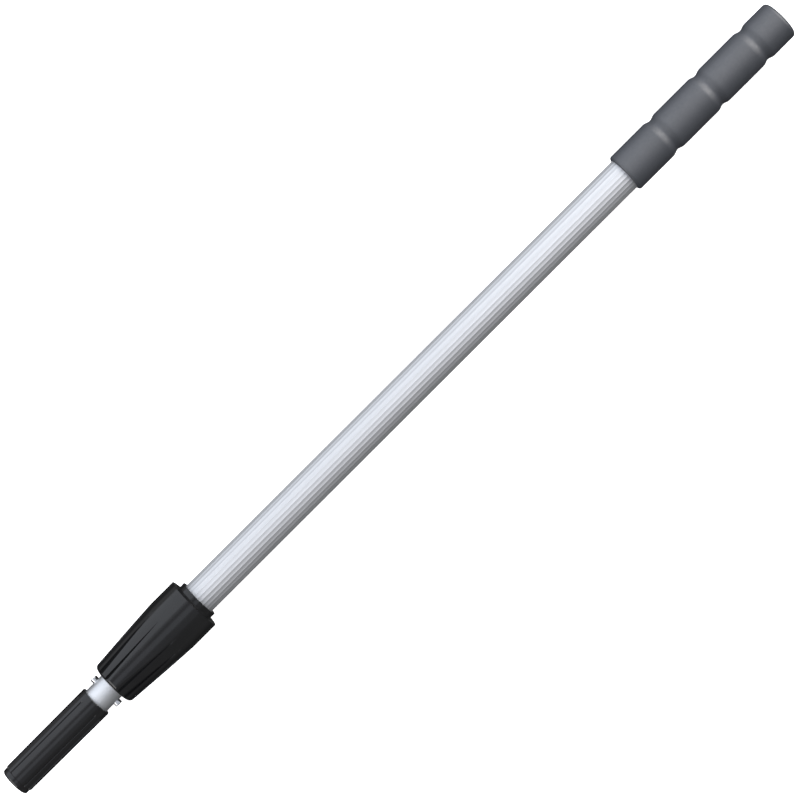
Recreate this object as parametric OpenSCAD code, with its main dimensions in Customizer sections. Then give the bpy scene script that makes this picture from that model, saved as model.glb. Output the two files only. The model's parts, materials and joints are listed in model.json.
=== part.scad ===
// Telescopic roller extension pole, two sections with an external twist lock.
// The pole lies along X with its tip towards -X and its grip towards +X.
// Every length along the pole is measured from the butt end of the grip.
// Units: millimetres.

/* [Grip] */
// length of the rubber grip
grip_len = 154.7; // [150:0.1:165]
// radius of the rubber grip
grip_r = 15.45; // [15:0.05:17]
// position of the ring groove nearest the butt
groove_first = 26.6; // [22:0.1:32]
// spacing of the ring grooves
groove_pitch = 44.65; // [40:0.05:46]
// width of one ring groove
groove_w = 11.6; // [8:0.1:14]
// depth of one ring groove
groove_depth = 1.4; // [0.8:0.1:2]
// thickness of the closed butt end
grip_end_wall = 4.3; // [3:0.1:6]

/* [Outer tube] */
// radius over the crests of the flutes
tube_r = 12.7; // [12.7:0.01:12.71]
// inside radius
tube_bore_r = 11.3; // [11.29:0.01:11.3]
// how far from the butt the tube reaches
tube_end = 600; // [599:0.1:601]
// number of flutes round the tube
flute_count = 26; // [20:1:30]
// depth of one flute
flute_depth = 0.4; // [0.2:0.05:0.5]

/* [Twist nut] */
// where the wide rear face of the nut stands
nut_start = 581.2; // [581:0.1:581.4]
// where the narrow front face of the nut stands
nut_end = 662; // [661.5:0.1:662.2]
// radius of the wide end
nut_r = 21.28; // [20.8:0.02:22]
// length of the straight wide end
nut_straight = 22.6; // [18:0.1:26]
// radius of the narrow end
nut_nose_r = 17.45; // [17:0.05:18]
// depth of a finger flute at the narrow end
nut_flute_depth = 1.8; // [1:0.1:2.2]

/* [Collar] */
// where the collar starts behind the nut
collar_start = 576.2; // [575:0.1:577]
// radius of the sleeve seen behind the nut
collar_sleeve_r = 15.23; // [14.8:0.01:15.5]
// front end of the collar, inside the nut
collar_end = 615; // [614:0.1:616]

/* [Inner tube] */
// outside radius
inner_r = 10.25; // [10.24:0.01:10.25]
// inside radius
inner_bore_r = 9.05; // [9.05:0.01:9.1]
// rear end of the inner tube, inside the outer tube
inner_start = 98.5; // [95:0.1:105]

/* [Tip] */
// where the shoulder of the tip stands
tip_start = 678.2; // [678:0.1:682]
// end of the grooved barrel
barrel_end = 755; // [750:0.1:758]
// overall end of the pole
pole_len = 759.5; // [758.5:0.1:765]
// radius of the grooved barrel
barrel_r = 12.1; // [12:0.01:12.2]
// radius of the plain ring between the shoulder and the grooved barrel
tip_ring_r = 12.3; // [12.22:0.01:12.4]
// radius of the end boss
boss_r = 11.3; // [10.8:0.05:11.5]
// width of one moulded groove along the barrel
tip_groove_w = 1.4; // [1:0.1:1.6]

/* [Spring buttons] */
// where the buttons stand
button_at = 668.3; // [668:0.1:669.5]
// radius of a button
button_r = 2.75; // [2.5:0.05:2.75]
// distance of a button's flat end from the pole axis
button_top = 13.1; // [12.8:0.1:13.5]

/* [Hidden] */
$fn = 96;
half_len = pole_len / 2;
axis_z = nut_r;
arc_steps = 6;

groove_steps = 12;
grip_butt_fillet = 3;
grip_rim_fillet = 2;
grip_bore_r = tube_r + 0.05;

tube_start = grip_end_wall + 2.2;
flute_cut_r = 0.9;

plug_flange_r = 12.5;
plug_flange_h = 2;
plug_body_r = tube_bore_r - 0.02;
plug_len = 20;

thread_pitch = 3;
thread_root_r = 15.8;
thread_crest_r = 16.6;
thread_turns = 5;
thread_start = 585;
arcs_per_turn = 6;
arc_angle = 360 / arcs_per_turn;
helix_tilt = atan(thread_pitch / (2 * PI * thread_root_r));
nut_bore_r = 16.95;
nut_thread_start = thread_start + 6 + thread_pitch / 2;
nut_thread_in_r = 16.1;

mouth_small_r = 11.7;
mouth_big_r = 13.4;
collar_front_r = 14.9;
lip_len = 3;
lip_bore_r = 10.6;
collar_pin_at = 579.2;
collar_pin_r = 1.25;

collet_start = tube_end + lip_len + 0.9;
collet_end = 628;
collet_head = collar_end + 3.4;
collet_head_r = 13.9;
collet_bore_r = inner_r + 0.3;
collet_gap = 0.35;
collet_slots = 6;

nut_seat = collet_end + 0.3;
nut_seat_r = 14.4;
nut_nose_bore_r = inner_r + 0.4;
nut_core_r = 12.4;
nut_lip_len = 4;
nut_nose_fillet = 3;
nut_flute_angles = [24, 49.5, 75];
nut_flute_wall = 8;
nut_flute_slope = 24;

bush_start = inner_start + 0.6;
bush_len = 30;
bush_r = tube_bore_r - 0.1;
bush_bore_r = inner_r + 0.1;
bead_r = 10.9;
bead_len = 2;

inner_plug_flange_r = 10.95;
inner_plug_flange_h = 2.5;
inner_plug_len = 16;

spigot_r = inner_bore_r - 0.03;
spigot_start = 640;
spigot_slot_w = 6.6;
spigot_slot_end = 676;
core_r = 6;
core_end = 746;
tip_groove_depth = 0.7;
tip_ring_end = 684.4;
tip_groove_angles = [33, 62, 118, 147, 213, 242, 298, 327];
tip_pin_at = 652;
tip_pin_r = 1.5;

spring_w = 5.8;
spring_t = 0.5;
spring_y = 7.6;
spring_apex = 626;
spring_bend_r = 1.6;
spring_leg_straight = button_at - 8;
spring_leg_end = 674;
button_stub_r = 1.2;
button_hole_r = button_r + 0.1;

grip();
grip_end_plug();
outer_tube();
collar();
collar_pins();
collet();
lock_nut();
guide_bush();
inner_tube();
inner_end_plug();
tip();
tip_pins();
button_spring();
button_left();
button_right();

// Puts children on the pole axis: their Z runs from the butt to the tip, their X points up.
module along(from = 0) {
    translate([half_len - from, 0, axis_z])
        rotate([0, -90, 0])
            children();
}

// A plain ring between two stations of the pole.
module ring(from, to, outside_r, inside_r) {
    translate([0, 0, from])
        difference() {
            cylinder(r = outside_r, h = to - from);
            translate([0, 0, -1])
                cylinder(r = inside_r, h = to - from + 2);
        }
}

// Points of a quarter round, centre (cr, cz), from angle a0 to a1.
function arc_points(cr, cz, r, a0, a1) =
    [for (i = [0 : arc_steps])
        let (a = a0 + (a1 - a0) * i / arc_steps)
            [cr + r * cos(a), cz + r * sin(a)]];

// Points of one ring groove, a smooth dip in the grip's outline.
function groove_points(at) =
    [for (i = [0 : groove_steps])
        let (share = i / groove_steps)
            [grip_r - groove_depth * (0.5 - 0.5 * cos(360 * share)), at + groove_w * (share - 0.5)]];

module grip() {
    color("dimgray")
        along()
            difference() {
                rotate_extrude()
                    polygon(concat(
                        [[0, 0]],
                        arc_points(grip_r - grip_butt_fillet, grip_butt_fillet, grip_butt_fillet, -90, 0),
                        groove_points(groove_first),
                        groove_points(groove_first + groove_pitch),
                        groove_points(groove_first + 2 * groove_pitch),
                        arc_points(grip_r - grip_rim_fillet, grip_len - grip_rim_fillet,
                                   grip_rim_fillet, 0, 90),
                        [[0, grip_len]]));
                translate([0, 0, grip_end_wall])
                    cylinder(r = grip_bore_r, h = grip_len);
            }
}

module grip_end_plug() {
    body_start = grip_end_wall + plug_flange_h;
    color("white")
        along()
            difference() {
                union() {
                    translate([0, 0, grip_end_wall + 0.05])
                        cylinder(r = plug_flange_r, h = plug_flange_h);
                    translate([0, 0, body_start])
                        cylinder(r = plug_body_r, h = plug_len);
                }
                translate([0, 0, body_start])
                    cylinder(r = plug_body_r - 1.6, h = plug_len + 1);
            }
}

module outer_tube() {
    cut_at = tube_r + flute_cut_r - flute_depth;
    color("silver")
        along(0)
            translate([0, 0, tube_start])
                difference() {
                    linear_extrude(height = tube_end - tube_start)
                        difference() {
                            circle(r = tube_r);
                            for (i = [0 : flute_count - 1])
                                rotate(i * 360 / flute_count)
                                    translate([cut_at, 0])
                                        circle(r = flute_cut_r, $fn = 24);
                        }
                    translate([0, 0, -1])
                        cylinder(r = tube_bore_r, h = tube_end);
                    translate([0, 0, collar_pin_at - tube_start])
                        rotate([90, 0, 0])
                            cylinder(r = collar_pin_r, h = 4 * tube_r, center = true, $fn = 32);
                }
}

// Short tilted arcs that follow one another round a helix.
module thread_arcs(turns, from, root_r, crest_r, base_w, crest_w) {
    for (i = [0 : turns * arcs_per_turn - 1])
        translate([0, 0, from + thread_pitch * i / arcs_per_turn])
            rotate([0, 0, i * arc_angle])
                rotate([helix_tilt, 0, 0])
                    rotate([0, 0, -arc_angle / 2 - 0.5])
                        rotate_extrude(angle = arc_angle + 1)
                            polygon([[root_r, -base_w / 2], [crest_r, -crest_w / 2],
                                     [crest_r, crest_w / 2], [root_r, base_w / 2]]);
}

module collar() {
    color("black")
        along()
            difference() {
                union() {
                    rotate_extrude()
                        polygon([
                            [tube_r + 0.05, collar_start],
                            [collar_sleeve_r, collar_start],
                            [collar_sleeve_r, nut_start - 1],
                            [thread_crest_r - 0.3, nut_start + 0.1],
                            [thread_crest_r - 0.3, nut_start + 1.4],
                            [thread_root_r, nut_start + 2],
                            [thread_root_r, tube_end + 2],
                            [collar_front_r, tube_end + 4],
                            [collar_front_r, collar_end],
                            [mouth_big_r, collar_end],
                            [mouth_small_r, tube_end + lip_len],
                            [lip_bore_r, tube_end + lip_len],
                            [lip_bore_r, tube_end],
                            [tube_r + 0.05, tube_end]]);
                    thread_arcs(thread_turns, thread_start, thread_root_r - 0.2, thread_crest_r, 1.3, 0.6);
                }
                translate([0, 0, collar_pin_at])
                    rotate([90, 0, 0])
                        cylinder(r = collar_pin_r, h = 4 * tube_r, center = true, $fn = 32);
            }
}

// Two dowel pins that lock the collar to the outer tube.
module collar_pins() {
    color("lightgray")
        along(collar_pin_at)
            for (side = [90, -90])
                rotate([side, 0, 0])
                    translate([0, 0, tube_bore_r + 0.1])
                        cylinder(r = collar_pin_r - 0.02, h = collar_sleeve_r - tube_bore_r - 0.4, $fn = 32);
}

// Split compression ring, pushed into the collar's tapered mouth by the nut.
module collet() {
    cone_slope = (mouth_big_r - mouth_small_r) / (collar_end - tube_end - lip_len);
    small_r = mouth_small_r + cone_slope * (collet_start - tube_end - lip_len) - collet_gap;
    big_r = mouth_big_r - collet_gap;
    color("ivory")
        along()
            difference() {
                rotate_extrude()
                    polygon([
                        [collet_bore_r, collet_start],
                        [small_r, collet_start],
                        [big_r, collar_end],
                        [big_r, collet_head],
                        [collet_head_r, collet_head + 0.6],
                        [collet_head_r, collet_end - 0.8],
                        [collet_head_r - 0.8, collet_end],
                        [collet_bore_r, collet_end]]);
                for (i = [0 : collet_slots - 1])
                    rotate(i * 360 / collet_slots)
                        translate([0, -0.6, collet_start - 1])
                            cube([20, 1.2, collet_end - collet_start - 4]);
                translate([0, -0.6, collet_start - 1])
                    cube([20, 1.2, collet_end - collet_start + 2]);
            }
}

// One tapering finger flute: a tilted notch that starts where the nut begins to narrow. Its cross-section
// has a steep wall on the far side of the valley and a gentle slope on the near side.
module nut_flute_cutter() {
    run = nut_end - nut_start - nut_straight;
    drop = nut_r - nut_nose_r + nut_flute_depth;
    tilt = atan(drop / run);
    reach = 6;
    translate([nut_r, 0, nut_start + nut_straight])
        rotate([0, -tilt, 0])
            translate([0, 0, -8])
                linear_extrude(height = run + 30)
                    polygon([[0, 0], [reach, reach * tan(nut_flute_wall)],
                             [reach, -reach / tan(nut_flute_slope)]]);
}

// The flutes mirror one another about the nut's two plain lands, which face up and down.
module nut_flute_cutters() {
    for (half = [0, 180], a = nut_flute_angles) {
        rotate(half + a)
            nut_flute_cutter();
        rotate(half - a)
            mirror([0, 1, 0])
                nut_flute_cutter();
    }
}

module lock_nut() {
    cone_from = nut_start + nut_straight;
    cone_run = nut_end - cone_from;
    seat_end = nut_seat + nut_seat_r - nut_core_r;
    color("black")
        along()
            union() {
                difference() {
                    rotate_extrude()
                        polygon(concat(
                            [[nut_bore_r, nut_start], [nut_r - 0.3, nut_start], [nut_r, nut_start + 0.3],
                             [nut_r, cone_from],
                             [nut_r - 0.60, cone_from + 0.16 * cone_run],
                             [nut_r - 1.55, cone_from + 0.38 * cone_run],
                             [nut_r - 3.16, cone_from + 0.80 * cone_run]],
                            arc_points(nut_nose_r - nut_nose_fillet + 0.25, nut_end - nut_nose_fillet,
                                       nut_nose_fillet, 0, 90),
                            [[nut_nose_bore_r, nut_end], [nut_nose_bore_r, nut_end - nut_lip_len],
                             [nut_core_r, nut_end - nut_lip_len - 1], [nut_core_r, seat_end],
                             [nut_nose_bore_r + 0.4, seat_end], [nut_nose_bore_r + 0.4, nut_seat],
                             [nut_seat_r, nut_seat],
                             [nut_seat_r, collar_end + 3.5], [nut_bore_r - 1.35, collar_end + 2.2],
                             [nut_bore_r - 1.35, nut_thread_start + 12],
                             [nut_bore_r, nut_thread_start + 10.5]]));
                    nut_flute_cutters();
                }
                thread_arcs(1, nut_thread_start, nut_bore_r + 0.2, nut_thread_in_r, 1.1, 0.7);
            }
}

module guide_bush() {
    color("white")
        along()
            difference() {
                ring(bush_start, bush_start + bush_len, bush_r, bush_bore_r);
                for (i = [0 : 3])
                    rotate(45 + i * 90)
                        translate([bush_r, 0, bush_start + bush_len / 2])
                            cube([0.9, 2, bush_len + 2], center = true);
            }
}

module inner_tube() {
    bead_at = bush_start + bush_len + 0.4;
    color("silver")
        along()
            difference() {
                union() {
                    translate([0, 0, inner_start])
                        cylinder(r = inner_r, h = tip_start - 0.05 - inner_start);
                    translate([0, 0, bead_at])
                        cylinder(r1 = bead_r, r2 = bead_r, h = bead_len);
                }
                translate([0, 0, inner_start - 1])
                    cylinder(r = inner_bore_r, h = tip_start);
                translate([0, 0, button_at])
                    rotate([90, 0, 0])
                        cylinder(r = button_hole_r, h = 4 * inner_r, center = true, $fn = 48);
                translate([0, 0, tip_pin_at])
                    rotate([0, 90, 0])
                        cylinder(r = tip_pin_r, h = 4 * inner_r, center = true, $fn = 32);
            }
}

module inner_end_plug() {
    color("white")
        along()
            difference() {
                union() {
                    translate([0, 0, inner_start - inner_plug_flange_h - 0.05])
                        cylinder(r = inner_plug_flange_r, h = inner_plug_flange_h);
                    translate([0, 0, inner_start - 0.1])
                        cylinder(r = spigot_r, h = inner_plug_len);
                }
                translate([0, 0, inner_start + 1])
                    cylinder(r = spigot_r - 1.8, h = inner_plug_len);
            }
}

module tip() {
    boss_fillet = 1.8;
    shoulder_fillet = 0.8;
    groove_start = tip_ring_end - 0.4;
    color("black")
        along()
            difference() {
                union() {
                    translate([0, 0, spigot_start])
                        cylinder(r = spigot_r, h = tip_start - spigot_start + 1);
                    rotate_extrude()
                        polygon(concat(
                            [[0, tip_start]],
                            arc_points(tip_ring_r - shoulder_fillet, tip_start + shoulder_fillet,
                                       shoulder_fillet, -90, 0),
                            [[tip_ring_r, tip_ring_end], [barrel_r, tip_ring_end],
                             [barrel_r, barrel_end - 0.4], [barrel_r - 0.4, barrel_end],
                             [boss_r, barrel_end]],
                            arc_points(boss_r - boss_fillet, pole_len - boss_fillet, boss_fillet, 0, 90),
                            [[0, pole_len]]));
                }
                translate([0, 0, spigot_start - 1])
                    cylinder(r = core_r, h = core_end - spigot_start + 1);
                translate([-spigot_slot_w / 2, -barrel_r, spigot_start - 1])
                    cube([spigot_slot_w, 2 * barrel_r, spigot_slot_end - spigot_start + 1]);
                for (a = tip_groove_angles)
                    rotate(a)
                        translate([barrel_r - tip_groove_depth, -tip_groove_w / 2, groove_start])
                            cube([2, tip_groove_w, barrel_end - groove_start + 0.01]);
                translate([0, 0, tip_pin_at])
                    rotate([0, 90, 0])
                        cylinder(r = tip_pin_r, h = 4 * inner_r, center = true, $fn = 32);
            }
}

// Two roll pins that hold the tip's spigot in the inner tube.
module tip_pins() {
    color("lightgray")
        along(tip_pin_at)
            for (side = [90, -90])
                rotate([0, side, 0])
                    translate([0, 0, core_r + 0.3])
                        cylinder(r = tip_pin_r - 0.02, h = inner_r - core_r - 0.5, $fn = 32);
}

// Half of the V spring's outline, offset inwards from its outer face; side is 1 or -1.
function spring_line(inset, side) =
    let (r = spring_bend_r - inset, bend_at = spring_apex + spring_bend_r)
        concat(
            [[-spring_leg_end, side * (spring_y - inset)],
             [-spring_leg_straight, side * (spring_y - inset)]],
            [for (i = [0 : 2 * arc_steps])
                let (a = side * 90 * (1 - i / (2 * arc_steps)))
                    [-bend_at + r * cos(a), r * sin(a)]]);

function reversed(list) = [for (i = [len(list) - 1 : -1 : 0]) list[i]];

// V spring of flat strip; its two legs press the buttons outwards.
module button_spring() {
    color("gray")
        along()
            difference() {
                rotate([0, 90, 0])
                    linear_extrude(height = spring_w, center = true)
                        polygon(concat(
                            spring_line(0, 1), reversed(spring_line(0, -1)),
                            spring_line(spring_t, -1), reversed(spring_line(spring_t, 1))));
                translate([0, 0, button_at])
                    rotate([90, 0, 0])
                        cylinder(r = button_stub_r + 0.02, h = 4 * inner_r, center = true, $fn = 32);
            }
}

// One button: a round head outside the spring leg and a stub through it.
module button_shape() {
    edge = 0.4;
    translate([0, 0, spring_y + 0.05])
        cylinder(r = button_r, h = button_top - spring_y - 0.05 - edge, $fn = 48);
    translate([0, 0, button_top - edge])
        cylinder(r1 = button_r, r2 = button_r - edge, h = edge, $fn = 48);
    translate([0, 0, spring_y - spring_t - 0.4])
        cylinder(r = button_stub_r, h = spring_t + 0.5, $fn = 32);
}

// Left and right are as seen from the grip, looking towards the tip.
module button_left() {
    color("gainsboro")
        along(button_at)
            rotate([90, 0, 0])
                button_shape();
}

module button_right() {
    color("gainsboro")
        along(button_at)
            rotate([-90, 0, 0])
                button_shape();
}
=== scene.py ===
"""Looks of the telescopic extension pole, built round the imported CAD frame.

The pole lies along X with its grip towards +X. As in the CAD source, u is a distance along the pole
from the butt end, r a distance from its axis and phi an angle round it, 0 facing up and growing
towards +Y. Profiles are written in millimetres and become metres when a mesh is made.
"""
import json
import math

import bpy
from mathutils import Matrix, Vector

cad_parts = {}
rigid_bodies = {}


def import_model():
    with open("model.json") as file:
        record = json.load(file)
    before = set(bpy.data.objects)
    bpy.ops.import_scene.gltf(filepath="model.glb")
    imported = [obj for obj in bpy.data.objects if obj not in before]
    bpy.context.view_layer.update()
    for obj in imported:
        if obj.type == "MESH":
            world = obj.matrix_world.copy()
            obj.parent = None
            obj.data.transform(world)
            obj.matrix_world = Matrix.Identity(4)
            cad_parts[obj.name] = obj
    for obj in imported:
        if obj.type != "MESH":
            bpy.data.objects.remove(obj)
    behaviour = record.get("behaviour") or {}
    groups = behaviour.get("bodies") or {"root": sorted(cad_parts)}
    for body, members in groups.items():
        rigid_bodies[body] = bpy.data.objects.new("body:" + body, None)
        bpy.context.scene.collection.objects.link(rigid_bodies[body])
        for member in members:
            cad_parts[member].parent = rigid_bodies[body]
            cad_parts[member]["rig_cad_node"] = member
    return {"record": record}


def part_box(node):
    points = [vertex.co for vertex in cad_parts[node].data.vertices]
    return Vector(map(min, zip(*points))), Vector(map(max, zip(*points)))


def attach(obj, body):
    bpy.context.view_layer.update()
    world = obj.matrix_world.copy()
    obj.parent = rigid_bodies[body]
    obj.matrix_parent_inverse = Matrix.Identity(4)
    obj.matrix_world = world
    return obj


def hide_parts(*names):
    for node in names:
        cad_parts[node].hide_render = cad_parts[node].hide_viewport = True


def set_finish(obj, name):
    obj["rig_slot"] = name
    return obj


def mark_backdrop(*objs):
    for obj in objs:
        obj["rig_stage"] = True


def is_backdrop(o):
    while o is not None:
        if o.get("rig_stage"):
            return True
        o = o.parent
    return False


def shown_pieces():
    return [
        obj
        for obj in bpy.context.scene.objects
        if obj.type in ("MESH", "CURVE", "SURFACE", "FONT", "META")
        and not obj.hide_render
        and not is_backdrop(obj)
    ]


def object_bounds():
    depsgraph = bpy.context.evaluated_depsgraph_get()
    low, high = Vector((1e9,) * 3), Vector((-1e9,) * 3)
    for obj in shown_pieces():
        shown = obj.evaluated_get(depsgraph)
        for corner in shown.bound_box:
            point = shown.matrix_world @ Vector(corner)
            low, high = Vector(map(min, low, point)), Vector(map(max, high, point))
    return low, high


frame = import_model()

MM = 0.001
CAD_LOW, CAD_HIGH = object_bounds()
HALF_LEN = CAD_HIGH.x / MM
AXIS_Z = (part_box("lock_nut")[0].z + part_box("lock_nut")[1].z) / 2

GRIP_LEN, GRIP_R, GRIP_WALL = 154.7, 15.45, 4.3
GROOVES_AT, GROOVE_W, GROOVE_DEPTH = (26.6, 71.25, 115.9), 11.6, 1.4
TUBE_START, TUBE_END, TUBE_R, TUBE_BORE = 6.5, 600.0, 12.7, 11.3
FLUTES, FLUTE_DEPTH, FLUTE_TURN_DEG = 26, 0.26, 3.8
NUT_START, NUT_CONE, NUT_END = 581.2, 603.8, 662.0
NUT_R, NUT_NOSE_FILLET = 21.28, 3.0
NUT_FLUTE_ANGLES, NUT_FLUTE_DEPTH, NUT_FLUTE_SLOPE_DEG = (24.0, 49.5, 75.0), 1.8, 24
NUT_STEPS = 720
# The nut's bores from the nose back to its rear: lip, room for the collet, its cone, and the thread's bore.
NUT_INSIDE = [(NUT_END, 14.6), (NUT_END, 10.65), (658, 10.65), (657, 12.4), (630.3, 12.4), (630.3, 11.05),
              (628.3, 11.05), (628.3, 14.4), (618.5, 14.4), (617.2, 15.6), (604.5, 15.6),
              (603, 16.95), (NUT_START, 16.95)]
TIP_START, TIP_RING_END, BARREL_END, TIP_END = 678.2, 684.4, 755.0, 759.5
TIP_RING_R, BARREL_R, BARREL_END_R, BOSS_R = 12.32, 12.1, 11.95, 11.3
TIP_GROOVE_ANGLES, TIP_GROOVE_W, TIP_GROOVE_DEPTH = (33.0, 62.0), 1.4, 0.7
BUTTON_AT, BUTTON_R, BUTTON_TOP = 668.3, 2.75, 13.1
SPIGOT_START, SPIGOT_R, SPIGOT_SLOT_W, SPIGOT_SLOT_END = 640.0, 9.02, 6.6, 676.0
TIP_CORE_R, TIP_CORE_END = 6.0, 746.0
TIP_PIN_AT, TIP_PIN_R = 652.0, 1.5


# ---------------------------------------------------------------- mesh tools

def point(u, r, phi):
    """A point of the pole in metres."""
    return ((HALF_LEN - u) * MM, r * MM * math.sin(phi), AXIS_Z + r * MM * math.cos(phi))


def new_piece(name, verts, faces, body, slot, replaces=(), sharp_deg=35.0):
    """A smooth-shaded mesh object that rides on a CAD body."""
    mesh = bpy.data.meshes.new(name)
    mesh.from_pydata(verts, [], faces)
    mesh.validate()
    mesh.shade_smooth()
    mesh.set_sharp_from_angle(angle=math.radians(sharp_deg))
    obj = bpy.data.objects.new(name, mesh)
    bpy.context.scene.collection.objects.link(obj)
    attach(obj, body)
    if replaces:
        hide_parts(*replaces)
    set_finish(obj, slot)
    return obj


def turned(rings, steps, closed=False, caps=True):
    """Vertices and faces of a body of revolution.

    rings is a list of (u, radius), where radius is a number or a function of the angle. An open
    list ends in flat caps; a closed one joins its last ring to its first.
    """
    verts, faces = [], []
    for u, radius in rings:
        for i in range(steps):
            phi = 2 * math.pi * i / steps
            verts.append(point(u, radius(phi) if callable(radius) else radius, phi))
    pairs = [(k, k + 1) for k in range(len(rings) - 1)]
    if closed:
        pairs.append((len(rings) - 1, 0))
    for a, b in pairs:
        for i in range(steps):
            j = (i + 1) % steps
            faces.append((a * steps + i, a * steps + j, b * steps + j, b * steps + i))
    if caps and not closed:
        first, last = len(verts), len(verts) + 1
        verts.append(point(rings[0][0], 0, 0))
        verts.append(point(rings[-1][0], 0, 0))
        end = (len(rings) - 1) * steps
        for i in range(steps):
            j = (i + 1) % steps
            faces.append((first, j, i))
            faces.append((last, end + i, end + j))
    return verts, faces


def cut_away(obj, cutters):
    """Takes closed cutter meshes, each given as (verts, faces), out of a piece."""
    for verts, faces in cutters:
        mesh = bpy.data.meshes.new("cutter")
        mesh.from_pydata(verts, [], faces)
        cutter = bpy.data.objects.new("cutter", mesh)
        bpy.context.scene.collection.objects.link(cutter)
        modifier = obj.modifiers.new("cut", "BOOLEAN")
        modifier.operation = "DIFFERENCE"
        modifier.solver = "EXACT"
        modifier.object = cutter
        bpy.context.view_layer.update()
        shape = bpy.data.meshes.new_from_object(obj.evaluated_get(bpy.context.evaluated_depsgraph_get()))
        obj.modifiers.remove(modifier)
        obj.data = shape
        bpy.data.objects.remove(cutter)
        bpy.data.meshes.remove(mesh)


def box_shape(u_range, y_range, z_range):
    """Vertices and faces of a box; y and z are measured from the pole's axis."""
    verts = [((HALF_LEN - u) * MM, y * MM, AXIS_Z + z * MM)
             for u in u_range for y in y_range for z in z_range]
    faces = [(0, 1, 3, 2), (4, 6, 7, 5), (0, 4, 5, 1), (2, 3, 7, 6), (0, 2, 6, 4), (1, 5, 7, 3)]
    return verts, faces


def cross_hole(u, radius, reach, steps=32):
    """Vertices and faces of an upright round bar through the axis, for cutting a cross hole."""
    verts = []
    for z in (-reach, reach):
        for i in range(steps):
            a = 2 * math.pi * i / steps
            x = HALF_LEN - u + radius * math.cos(a)
            verts.append((x * MM, radius * math.sin(a) * MM, AXIS_Z + z * MM))
    faces = [(i, (i + 1) % steps, steps + (i + 1) % steps, steps + i) for i in range(steps)]
    faces += [tuple(reversed(range(steps))), tuple(range(steps, 2 * steps))]
    return verts, faces


def arc(cu, cr, radius, start_deg, end_deg, steps):
    """(u, r) points of an arc in the profile plane; 0 degrees points outwards, 90 towards the tip."""
    out = []
    for i in range(steps + 1):
        a = math.radians(start_deg + (end_deg - start_deg) * i / steps)
        out.append((cu + radius * math.sin(a), cr + radius * math.cos(a)))
    return out


def spread(start, end, count):
    """count + 1 even stations from start to end."""
    return [start + (end - start) * i / count for i in range(count + 1)]


def angle_gap(phi, centre_deg):
    """Signed angle in radians from centre_deg to phi, between -pi and pi."""
    return (phi - math.radians(centre_deg) + math.pi) % (2 * math.pi) - math.pi


# ---------------------------------------------------------------- pieces

def grip_radius(u):
    """Outside radius of the grip, with its three soft ring grooves."""
    r = GRIP_R
    for at in GROOVES_AT:
        share = abs(u - at) / (GROOVE_W / 2)
        if share < 1:
            r -= GROOVE_DEPTH * (0.5 + 0.5 * math.cos(math.pi * share)) ** 1.15
    return r


def make_grip():
    butt_fillet, rim_fillet, rim_wall = 3.0, 2.0, 0.05
    outer = arc(butt_fillet, GRIP_R - butt_fillet, butt_fillet, -90, 0, 14)
    outer += [(u, grip_radius(u)) for u in spread(butt_fillet + 1, GRIP_LEN - rim_fillet - 0.5, 260)]
    outer += arc(GRIP_LEN - rim_fillet, GRIP_R - rim_fillet, rim_fillet, 0, 90, 10)
    inner = [(GRIP_LEN, TUBE_R + rim_wall), (GRIP_WALL, TUBE_R + rim_wall)]
    verts, faces = turned([(0, 6.0)] + outer + inner + [(GRIP_WALL, 6.0)], 128)
    return new_piece("grip_rubber", verts, faces, "outer_section", "grip_rubber", ["grip"])


def flute_radius(phi):
    """Outside radius of the ribbed tube: round-bottomed flutes that meet in ridges."""
    share = ((phi + math.radians(FLUTE_TURN_DEG)) * FLUTES / (2 * math.pi)) % 1.0
    from_valley = min(share, 1 - share) * 2
    return TUBE_R - FLUTE_DEPTH * (1 - from_valley ** 2)


def make_outer_tube():
    steps = FLUTES * 16
    rings = [(u, flute_radius) for u in spread(TUBE_START, TUBE_END, 12)]
    rings += [(u, TUBE_BORE) for u in spread(TUBE_END, TUBE_START, 12)]
    verts, faces = turned(rings, steps, closed=True)
    return new_piece("ribbed_tube", verts, faces, "outer_section", "fluted_aluminium", ["outer_tube"])


def nut_cone(u):
    """Radius of the nut's outside before its nose is rounded: a straight band, then a cone.

    The cone swells a little over a straight line in its first half.
    """
    if u <= NUT_CONE:
        return NUT_R
    share = (u - NUT_CONE) / (NUT_END - NUT_CONE)
    return NUT_R - 3.97 * share + 0.22 * math.sin(math.pi * share) ** 2 * (1 - share) - 0.02 * share


def nut_base(u):
    """Radius of the nut's outside with its rounded nose."""
    from_nose = NUT_END - u
    r = nut_cone(u)
    if from_nose < NUT_NOSE_FILLET:
        rise = NUT_NOSE_FILLET - from_nose
        drop = NUT_NOSE_FILLET - math.sqrt(max(0.0, NUT_NOSE_FILLET ** 2 - rise ** 2))
        r -= drop
    return r


def nut_flute_cut(phi, depth, radius):
    """How far the flutes cut below the nut's cone at one angle.

    Seen from the nut's plain land, each flute is a gentle slope down to a valley and an upright wall
    beyond it, which takes up one step of the mesh.
    """
    gentle = max(depth / math.tan(math.radians(NUT_FLUTE_SLOPE_DEG)), 0.001)
    cut = 0.0
    for half in (0, 180):
        for a in NUT_FLUTE_ANGLES:
            for side in (1, -1):
                gap = side * angle_gap(phi, half + side * a) * radius
                if -gentle < gap <= 0.001:
                    cut = max(cut, depth * min(1.0, 1 + gap / gentle))
    return cut


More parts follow.
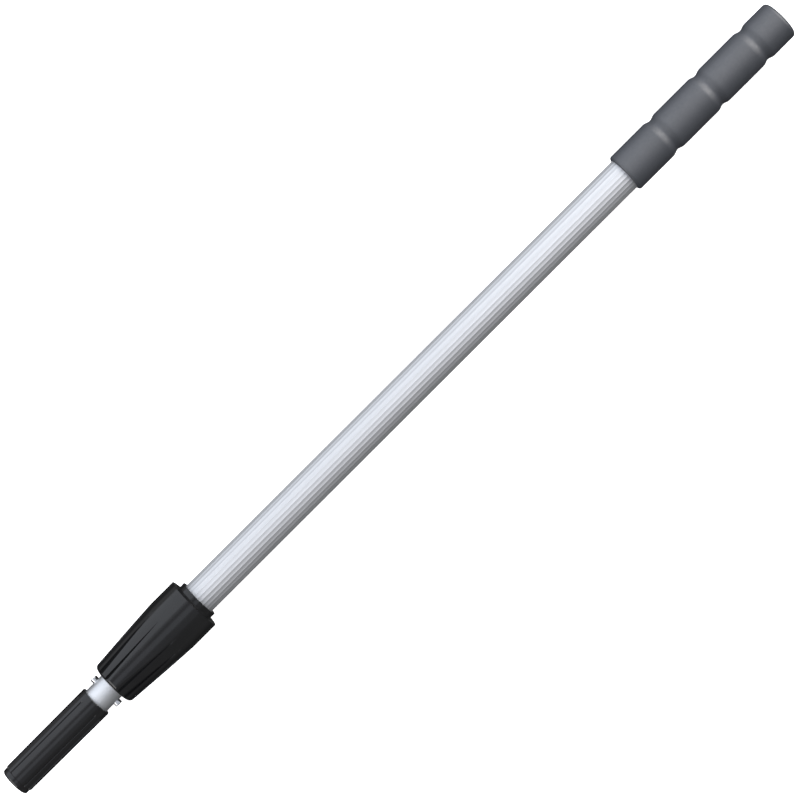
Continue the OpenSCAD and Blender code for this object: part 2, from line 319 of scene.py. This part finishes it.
def make_lock_nut():
    def outside(u):
        depth = NUT_FLUTE_DEPTH * max(0.0, (u - NUT_CONE) / (NUT_END - NUT_CONE))
        cone, base = nut_cone(u), nut_base(u)
        return lambda phi: min(base, cone - nut_flute_cut(phi, depth, cone))

    rear_bevel = 0.3
    rear = [(NUT_START, NUT_R - rear_bevel), (NUT_START + rear_bevel, NUT_R)]
    stations = spread(NUT_START + 1, NUT_CONE, 6) + spread(NUT_CONE + 0.5, NUT_END - NUT_NOSE_FILLET, 70)
    stations += [NUT_END - NUT_NOSE_FILLET * (1 - math.sin(math.radians(a))) for a in range(8, 91, 7)]
    rings = rear + [(u, outside(u)) for u in stations]
    verts, faces = turned(rings + NUT_INSIDE, NUT_STEPS, closed=True)
    return new_piece("twist_nut", verts, faces, "lock_nut", "black_plastic", ["lock_nut"])


def tip_radius(u):
    """Radius of the tip's outside before its grooves are cut: the barrel has a slight moulding taper."""
    shoulder_fillet, boss_fillet = 0.5, 1.8
    taper = (TIP_RING_R - BARREL_END_R) / (BARREL_END - TIP_START)
    if u < TIP_START + shoulder_fillet:
        fall = TIP_START + shoulder_fillet - u
        return TIP_RING_R - shoulder_fillet + math.sqrt(max(0.0, shoulder_fillet ** 2 - fall ** 2))
    if u < BARREL_END - 0.4:
        return TIP_RING_R - taper * (u - TIP_START)
    if u < BARREL_END:
        return BARREL_END_R - (u - BARREL_END + 0.4)
    if u < TIP_END - boss_fillet:
        return BOSS_R
    rise = u - (TIP_END - boss_fillet)
    return BOSS_R - boss_fillet + math.sqrt(max(0.0, boss_fillet ** 2 - rise ** 2))


def tip_groove_cut(phi, share):
    """Depth of the tip's moulded grooves at one angle; share fades them in at their rear end."""
    cut = 0.0
    for half in (0, 180):
        for a in TIP_GROOVE_ANGLES:
            for side in (1, -1):
                gap = abs(angle_gap(phi, half + side * a)) * BARREL_R / (TIP_GROOVE_W / 2)
                if gap < 1:
                    cut = max(cut, TIP_GROOVE_DEPTH * share * min(1.0, 2.2 * (1 - gap)))
    return cut


def make_tip():
    steps, pinhole_r, past_pole = 720, 0.5, 15

    def outside(u):
        share = min(1.0, max(0.0, (u - TIP_RING_END + 0.4) / 1.5))
        if u > BARREL_END - 0.01:
            share = 0.0
        base = tip_radius(u)
        return lambda phi: base - tip_groove_cut(phi, share)

    stations = [TIP_START + 0.5 * (1 - math.cos(math.radians(a))) for a in range(0, 91, 15)]
    stations += spread(TIP_START + 1.5, TIP_RING_END - 0.6, 6) + spread(TIP_RING_END - 0.4, TIP_RING_END, 2)
    stations += spread(TIP_RING_END + 0.01, TIP_RING_END + 1.5, 6)
    stations += spread(TIP_RING_END + 3, BARREL_END - 0.41, 16)
    stations += [BARREL_END - 0.2, BARREL_END - 0.02, BARREL_END + 0.01, TIP_END - 3]
    stations += [TIP_END - 1.8 * (1 - math.sin(math.radians(a))) for a in range(0, 91, 10)]
    rings = [(SPIGOT_START, SPIGOT_R), (TIP_START, SPIGOT_R)] + [(u, outside(u)) for u in stations]
    rings += [(TIP_END, pinhole_r), (TIP_CORE_END, pinhole_r)]
    rings += [(TIP_CORE_END, TIP_CORE_R), (SPIGOT_START, TIP_CORE_R)]
    verts, faces = turned(rings, steps, closed=True)
    tip = new_piece("plug_tip", verts, faces, "inner_section", "black_plastic", ["tip"])
    slot_u = (SPIGOT_SLOT_END, SPIGOT_START - 10)
    slot = box_shape(slot_u, (-past_pole, past_pole), (-SPIGOT_SLOT_W / 2, SPIGOT_SLOT_W / 2))
    cut_away(tip, [slot, cross_hole(TIP_PIN_AT, TIP_PIN_R, past_pole)])


def make_button(name, body, side):
    """A round stud; side is +1 where it stands out along +Y."""
    steps, foot, fillet = 48, 7.65, 0.7
    profile = [(foot, 0.0), (foot, BUTTON_R), (BUTTON_TOP - fillet, BUTTON_R)]
    for degrees in range(0, 91, 15):
        a = math.radians(degrees)
        profile.append((BUTTON_TOP - fillet + fillet * math.sin(a), BUTTON_R - fillet + fillet * math.cos(a)))
    verts, faces = [], []
    for height, radius in profile:
        for i in range(steps):
            a = 2 * math.pi * i / steps
            verts.append(((HALF_LEN - BUTTON_AT + radius * math.cos(a)) * MM, side * height * MM,
                          AXIS_Z + radius * math.sin(a) * MM))
    for k in range(len(profile) - 1):
        for i in range(steps):
            j = (i + 1) % steps
            faces.append((k * steps + i, k * steps + j, (k + 1) * steps + j, (k + 1) * steps + i))
    faces.append(tuple(range((len(profile) - 1) * steps, len(profile) * steps)))
    return new_piece(name, verts, faces, body, "bright_steel", [name])


# ---------------------------------------------------------------- materials

class Nodes:
    """A material under construction, with short calls for the few node kinds used here."""

    def __init__(self, name):
        self.material = bpy.data.materials.new(name)
        self.material.use_nodes = True
        self.tree = self.material.node_tree
        self.shader = self.tree.nodes["Principled BSDF"]
        self.coords = self.tree.nodes.new("ShaderNodeTexCoord").outputs["Object"]

    def set(self, **values):
        """Sets constants on the shader's own sockets."""
        for key, value in values.items():
            self.shader.inputs[key.replace("_", " ")].default_value = value

    def link(self, out, socket):
        self.tree.links.new(out, self.shader.inputs[socket])

    def noise(self, scale, stretch=(1, 1, 1), detail=3.0, rough=0.5):
        """Noise in object space; scale is in features a metre, stretch multiplies each axis."""
        mapping = self.tree.nodes.new("ShaderNodeMapping")
        mapping.inputs["Scale"].default_value = [scale * s for s in stretch]
        self.tree.links.new(self.coords, mapping.inputs["Vector"])
        node = self.tree.nodes.new("ShaderNodeTexNoise")
        node.inputs["Scale"].default_value = 1.0
        node.inputs["Detail"].default_value = detail
        node.inputs["Roughness"].default_value = rough
        self.tree.links.new(mapping.outputs["Vector"], node.inputs["Vector"])
        return node.outputs["Fac"]

    def remap(self, value, low, high, from_low=0.3, from_high=0.7):
        node = self.tree.nodes.new("ShaderNodeMapRange")
        node.inputs["From Min"].default_value = from_low
        node.inputs["From Max"].default_value = from_high
        node.inputs["To Min"].default_value = low
        node.inputs["To Max"].default_value = high
        self.tree.links.new(value, node.inputs["Value"])
        return node.outputs["Result"]

    def ramp(self, value, *stops):
        node = self.tree.nodes.new("ShaderNodeValToRGB")
        elements = node.color_ramp.elements
        while len(elements) < len(stops):
            elements.new(1.0)
        for element, (place, colour) in zip(elements, stops):
            element.position = place
            element.color = (*colour, 1.0)
        self.tree.links.new(value, node.inputs["Fac"])
        return node.outputs["Color"]

    def bump(self, height, distance_mm, strength=1.0, under=None):
        node = self.tree.nodes.new("ShaderNodeBump")
        node.inputs["Distance"].default_value = distance_mm * MM
        node.inputs["Strength"].default_value = strength
        self.tree.links.new(height, node.inputs["Height"])
        if under is not None:
            self.tree.links.new(under, node.inputs["Normal"])
        return node.outputs["Normal"]


def rubber_material():
    m = Nodes("grip rubber")
    m.set(Metallic=0.0, IOR=1.65, Specular_IOR_Level=1.0)
    dark, light = (0.015, 0.020, 0.030), (0.020, 0.025, 0.036)
    m.link(m.ramp(m.noise(60, detail=4), (0.3, dark), (0.7, light)), "Base Color")
    m.link(m.remap(m.noise(400, detail=4), 0.56, 0.64), "Roughness")
    m.link(m.bump(m.noise(3000, detail=2), 0.03, 0.5), "Normal")
    return m.material


def aluminium_material(name, tint, rough_low, rough_high):
    m = Nodes(name)
    m.set(Metallic=1.0)
    lines = m.noise(2500, stretch=(0.02, 1, 1), detail=3)
    darker = [0.95 * c for c in tint]
    m.link(m.ramp(m.noise(40, stretch=(0.1, 1, 1)), (0.3, darker), (0.7, tint)), "Base Color")
    m.link(m.remap(lines, rough_low, rough_high), "Roughness")
    m.link(m.bump(lines, 0.01, 0.3), "Normal")
    return m.material


def plastic_material(name, dark, light, rough_low, rough_high):
    m = Nodes(name)
    m.set(Metallic=0.0, IOR=1.55)
    m.link(m.ramp(m.noise(50, detail=4), (0.3, dark), (0.7, light)), "Base Color")
    m.link(m.remap(m.noise(300, detail=5), rough_low, rough_high), "Roughness")
    m.link(m.bump(m.noise(900, detail=2), 0.01, 0.3), "Normal")
    return m.material


def steel_material(name, base, rough_low, rough_high):
    m = Nodes(name)
    m.set(Metallic=1.0)
    m.link(m.ramp(m.noise(200, detail=4), (0.3, [0.9 * c for c in base]), (0.7, base)), "Base Color")
    m.link(m.remap(m.noise(1500, detail=4), rough_low, rough_high), "Roughness")
    m.link(m.bump(m.noise(4000, detail=2), 0.005, 0.3), "Normal")
    return m.material


def make_materials():
    return {
        "grip_rubber": rubber_material(),
        "fluted_aluminium": aluminium_material("ribbed aluminium", (0.70, 0.715, 0.74), 0.58, 0.64),
        "plain_aluminium": aluminium_material("plain aluminium", (0.78, 0.8, 0.83), 0.44, 0.50),
        "black_plastic": plastic_material(
            "black plastic", (0.006, 0.0062, 0.007), (0.008, 0.0083, 0.009), 0.12, 0.2),
        "white_plastic": plastic_material("white plastic", (0.76, 0.76, 0.73), (0.82, 0.82, 0.79), 0.35, 0.5),
        "steel": steel_material("dowel steel", (0.6, 0.6, 0.61), 0.25, 0.4),
        "spring_steel": steel_material("spring steel", (0.5, 0.5, 0.52), 0.3, 0.45),
        "bright_steel": steel_material("bright steel", (0.62, 0.63, 0.65), 0.12, 0.2),
    }


def give_materials(made):
    """Each shown piece takes the material of its slot; a CAD node's slot is in the record."""
    cad_slots = {s["node"]: s["material_slot"] for s in frame["record"]["subparts"]}
    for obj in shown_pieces():
        key = obj["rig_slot"] if "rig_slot" in obj else cad_slots[obj["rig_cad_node"]]
        obj.data.materials.clear()
        obj.data.materials.append(made[key])
        obj.data.polygons.foreach_set("material_index", [0] * len(obj.data.polygons))


# ---------------------------------------------------------------- stage, light, camera

CAMERA_HEIGHT = 2.2
FRAME_WIDTH = 0.5614
CAMERA_AIM = (0.00157, -0.00096)
CAMERA_ROLL_DEG = -44.93
FLOOR_SIZE, FLOOR_Z, BACKDROP_R = 30, -0.0005, 14
HIGH_ANGLE_DEG, HIGH_LEAN, HIGH_DISTANCE, HIGH_SIZE_X, HIGH_SIZE_Y = 10, 1.5, 2.5, 2.8, 1.6


def make_camera():
    """Looks straight down on the pole, which runs from lower left to upper right."""
    data = bpy.data.cameras.new("camera")
    data.sensor_width = 36
    data.lens = data.sensor_width * CAMERA_HEIGHT / FRAME_WIDTH
    data.clip_start = 0.1
    data.clip_end = 50
    camera = bpy.data.objects.new("camera", data)
    camera.location = (CAMERA_AIM[0], CAMERA_AIM[1], AXIS_Z + CAMERA_HEIGHT)
    camera.rotation_euler = (0, 0, math.radians(CAMERA_ROLL_DEG))
    bpy.context.scene.collection.objects.link(camera)
    bpy.context.scene.camera = camera


def make_floor():
    """A plain near-white floor and a far backdrop, seen by the camera and by nothing else."""
    material = bpy.data.materials.new("pale floor")
    material.use_nodes = True
    shader = material.node_tree.nodes["Principled BSDF"]
    shader.inputs["Base Color"].default_value = (0.9, 0.9, 0.9, 1)
    shader.inputs["Roughness"].default_value = 0.9
    shader.inputs["Emission Color"].default_value = (1, 1, 1, 1)
    shader.inputs["Emission Strength"].default_value = 1.0
    material.cycles.emission_sampling = "NONE"
    bpy.ops.mesh.primitive_plane_add(size=FLOOR_SIZE, location=(0, 0, FLOOR_Z))
    floor = bpy.context.object
    floor.name = "floor"
    bpy.ops.mesh.primitive_uv_sphere_add(radius=BACKDROP_R, segments=48, ring_count=24)
    backdrop = bpy.context.object
    backdrop.name = "backdrop"
    for obj in (floor, backdrop):
        obj.data.materials.append(material)
        obj.visible_diffuse = False
        obj.visible_glossy = False
        obj.visible_transmission = False
        obj.visible_shadow = False
    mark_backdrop(floor, backdrop)


def area_light(name, direction, distance, size_x, size_y, radiance, colour=(1, 1, 1)):
    """A soft box that faces the pole. Its power follows from the brightness its surface should have."""
    data = bpy.data.lights.new(name, "AREA")
    data.shape = "RECTANGLE"
    data.size, data.size_y = size_x, size_y
    data.energy = radiance * math.pi * size_x * size_y
    data.color = colour
    light = bpy.data.objects.new(name, data)
    way = Vector(direction).normalized()
    light.location = way * distance + Vector((0, 0, AXIS_Z))
    light.rotation_mode = "QUATERNION"
    light.rotation_quaternion = way.to_track_quat("Z", "Y")
    light.visible_camera = False
    bpy.context.scene.collection.objects.link(light)
    return light


def in_section(angle_deg, lean=0.0):
    """A direction in the pole's cross-section, angle_deg from straight up towards +Y, leaning along X."""
    a = math.radians(angle_deg)
    return (lean, math.sin(a), math.cos(a))


def sheet(name, start_deg, end_deg, radiance, colour=(1, 1, 1), length=7.0, distance=2.5):
    """A long soft box beside the pole, covering the angles start_deg to end_deg round it."""
    half_width = distance * math.tan(math.radians(end_deg - start_deg) / 2)
    middle = (start_deg + end_deg) / 2
    area_light(name, in_section(middle), distance, length, 2 * half_width, radiance, colour)


def make_lights():
    sheet("key softbox", 26, 94, 1.03, colour=(0.93, 0.98, 1.07))
    sheet("key edge", 19, 26, 0.3, colour=(0.93, 0.98, 1.07))
    sheet("left fill", 94, 116, 0.2)
    sheet("top strip", -13, 7, 0.42, colour=(0.92, 0.98, 1.1))
    sheet("top fill", -40, 24, 0.2, colour=(0.94, 0.98, 1.08))
    sheet("right fill", -100, -40, 0.06)
    for name, lean, radiance in (("grip side softbox", HIGH_LEAN, 5.0), ("tip side softbox", -HIGH_LEAN, 2.2)):
        area_light(name, in_section(HIGH_ANGLE_DEG, lean), HIGH_DISTANCE, HIGH_SIZE_X, HIGH_SIZE_Y,
                   radiance, colour=(1.03, 1.0, 0.98))
    make_world()


def make_world():
    """Dim grey all round, darker below the level the pole lies at."""
    world = bpy.data.worlds.new("studio")
    world.use_nodes = True
    nodes, links = world.node_tree.nodes, world.node_tree.links
    height = nodes.new("ShaderNodeSeparateXYZ")
    links.new(nodes.new("ShaderNodeTexCoord").outputs["Generated"], height.inputs["Vector"])
    level = nodes.new("ShaderNodeMapRange")
    level.inputs["From Min"].default_value = -0.6
    level.inputs["From Max"].default_value = -0.3
    level.inputs["To Min"].default_value = 0.05
    level.inputs["To Max"].default_value = 0.15
    links.new(height.outputs["Z"], level.inputs["Value"])
    links.new(level.outputs["Result"], nodes["Background"].inputs["Strength"])
    nodes["Background"].inputs["Color"].default_value = (1, 1, 1, 1)
    bpy.context.scene.world = world


make_camera()
make_floor()
make_lights()
make_grip()
make_outer_tube()
make_lock_nut()
make_tip()
make_button("button_right", "button_right", 1)
make_button("button_left", "button_left", -1)
give_materials(make_materials())
bpy.context.scene.view_settings.view_transform = "Standard"
